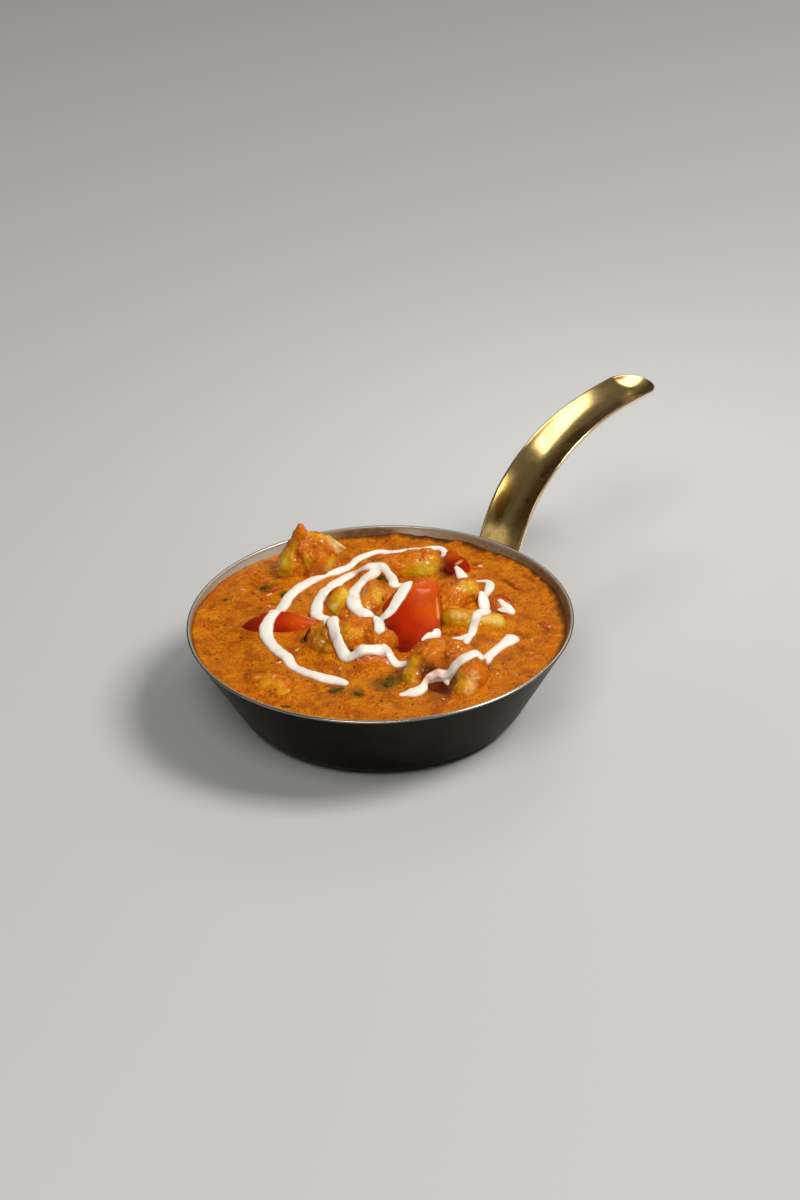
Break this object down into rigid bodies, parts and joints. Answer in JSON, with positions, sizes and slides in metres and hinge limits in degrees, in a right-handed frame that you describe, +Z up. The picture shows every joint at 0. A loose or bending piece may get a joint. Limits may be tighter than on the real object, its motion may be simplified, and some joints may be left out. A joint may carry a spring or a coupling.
{
  "type": "prawn masala in a small pan",
  "caption": "Prawn masala in a small round steel pan with a bent brass strap handle: orange gravy, curled prawns, red pepper pieces and a swirl of white cream.",
  "frame": {"origin": "centre of the pan's flat underside, on the table", "axes": "+X from the pan's middle along the handle, +Z up, +Y to the left seen along +X"},
  "size_m": [0.2658, 0.1596, 0.0796],
  "materials": {
    "steel": "brushed, dull outside",
    "brass": "polished, with dark patina",
    "gravy": "wet orange gravy with white cream and herb flakes",
    "prawn": "wet prawn flesh coated in orange sauce",
    "pepper": "glossy red pepper skin"
  },
  "bodies": {
    "root": {"pan": "steel", "handle": "brass", "rivet_near": "brass", "rivet_far": "brass", "curry": "gravy", "prawn_back_left": "prawn", "prawn_back": "prawn", "prawn_middle": "prawn", "prawn_near_middle": "prawn", "prawn_right": "prawn", "prawn_near_right": "prawn", "prawn_near_left": "prawn", "pepper_middle": "pepper", "pepper_left": "pepper", "pepper_back": "pepper", "pepper_right": "pepper"}
  },
  "joints": []
}
